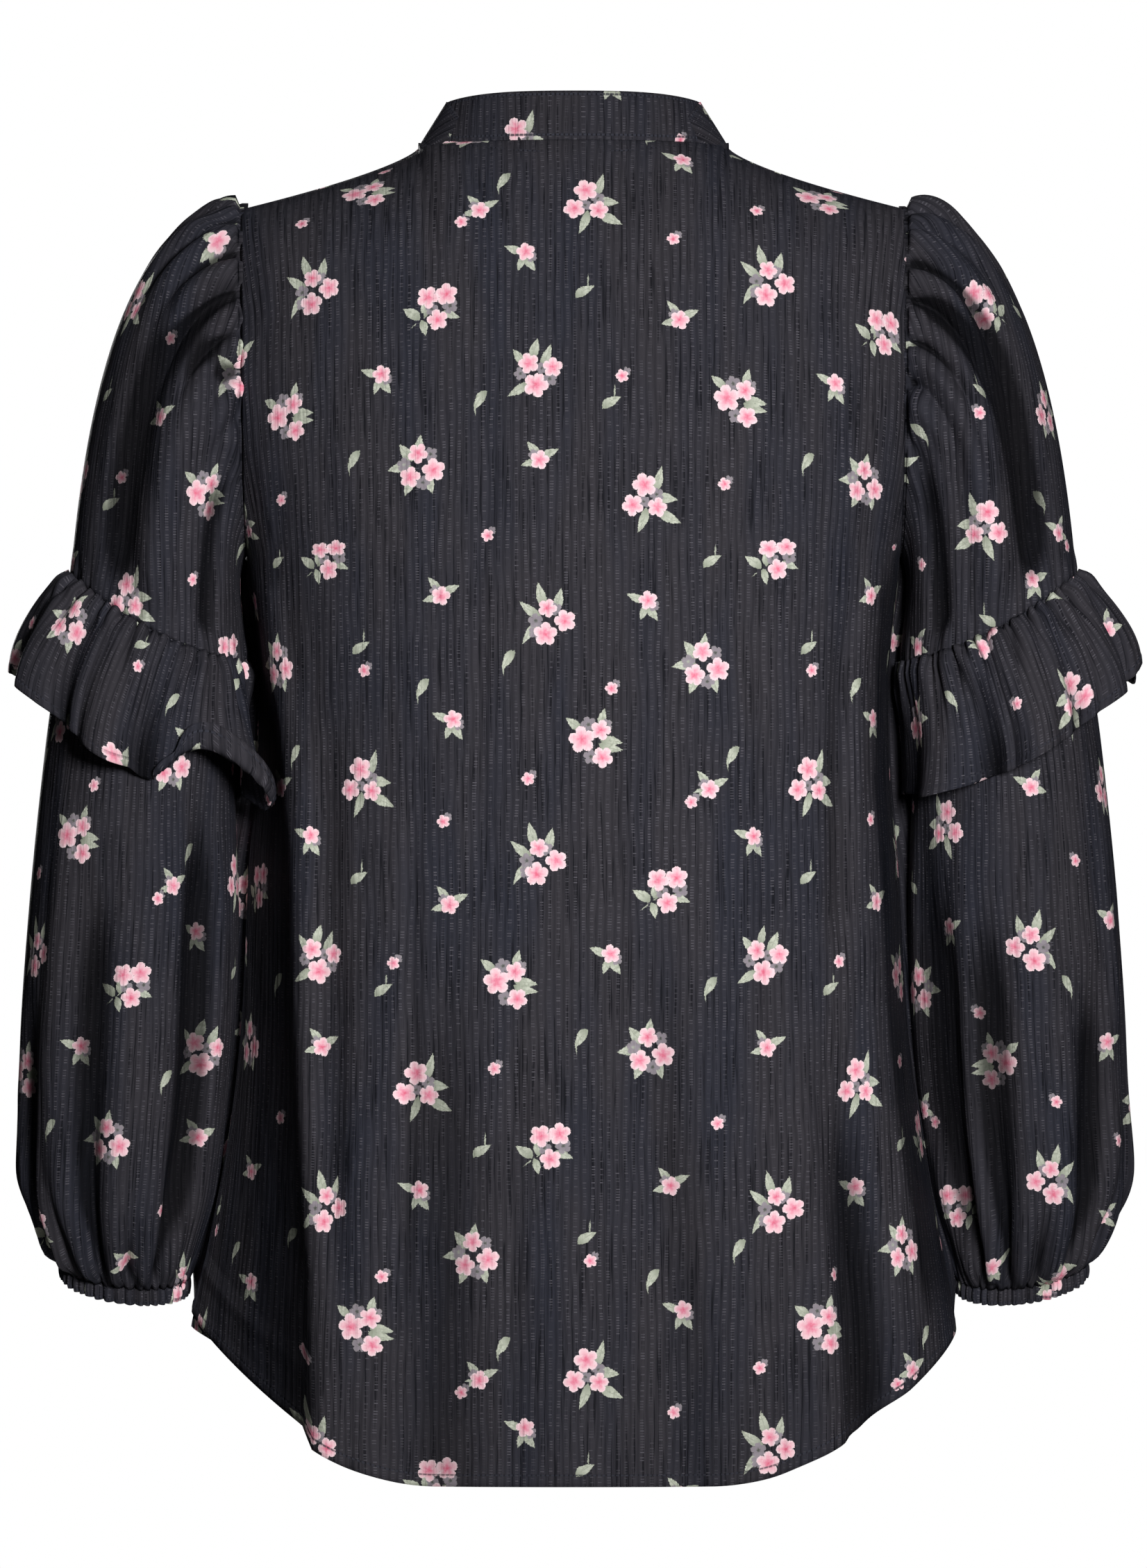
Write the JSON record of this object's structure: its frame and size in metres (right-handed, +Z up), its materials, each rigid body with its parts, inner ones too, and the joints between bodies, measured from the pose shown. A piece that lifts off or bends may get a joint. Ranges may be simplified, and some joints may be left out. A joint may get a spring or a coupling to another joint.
{
  "type": "blouse",
  "caption": "Long-sleeved blouse with a stand collar, ruffled full sleeves gathered into narrow cuffs, and a shirt-tail hem.",
  "frame": {"origin": "middle of the neck opening, at the height where the shoulders meet the collar", "axes": "+Z up; -Y the way the blouse faces, so +Y is its back; +X the wearer's left sleeve"},
  "size_m": [0.6524, 0.28, 0.7897],
  "materials": {
    "back": "black crinkle cotton with a scattered blossom print, matt",
    "front": "black crinkle cotton with a scattered blossom print, matt",
    "collar": "black crinkle cotton with a scattered blossom print, matt",
    "upper_sleeve_left": "black crinkle cotton with a scattered blossom print, matt",
    "ruffle_left": "black crinkle cotton with a scattered blossom print, matt",
    "lower_sleeve_left": "black crinkle cotton with a scattered blossom print, matt",
    "cuff_left": "black crinkle cotton with a scattered blossom print, matt",
    "upper_sleeve_right": "black crinkle cotton with a scattered blossom print, matt",
    "ruffle_right": "black crinkle cotton with a scattered blossom print, matt",
    "lower_sleeve_right": "black crinkle cotton with a scattered blossom print, matt",
    "cuff_right": "black crinkle cotton with a scattered blossom print, matt"
  },
  "bodies": {
    "root": {"back": "back", "front": "front", "collar": "collar", "upper_sleeve_left": "upper_sleeve_left", "ruffle_left": "ruffle_left", "lower_sleeve_left": "lower_sleeve_left", "cuff_left": "cuff_left", "upper_sleeve_right": "upper_sleeve_right", "ruffle_right": "ruffle_right", "lower_sleeve_right": "lower_sleeve_right", "cuff_right": "cuff_right"}
  },
  "joints": []
}
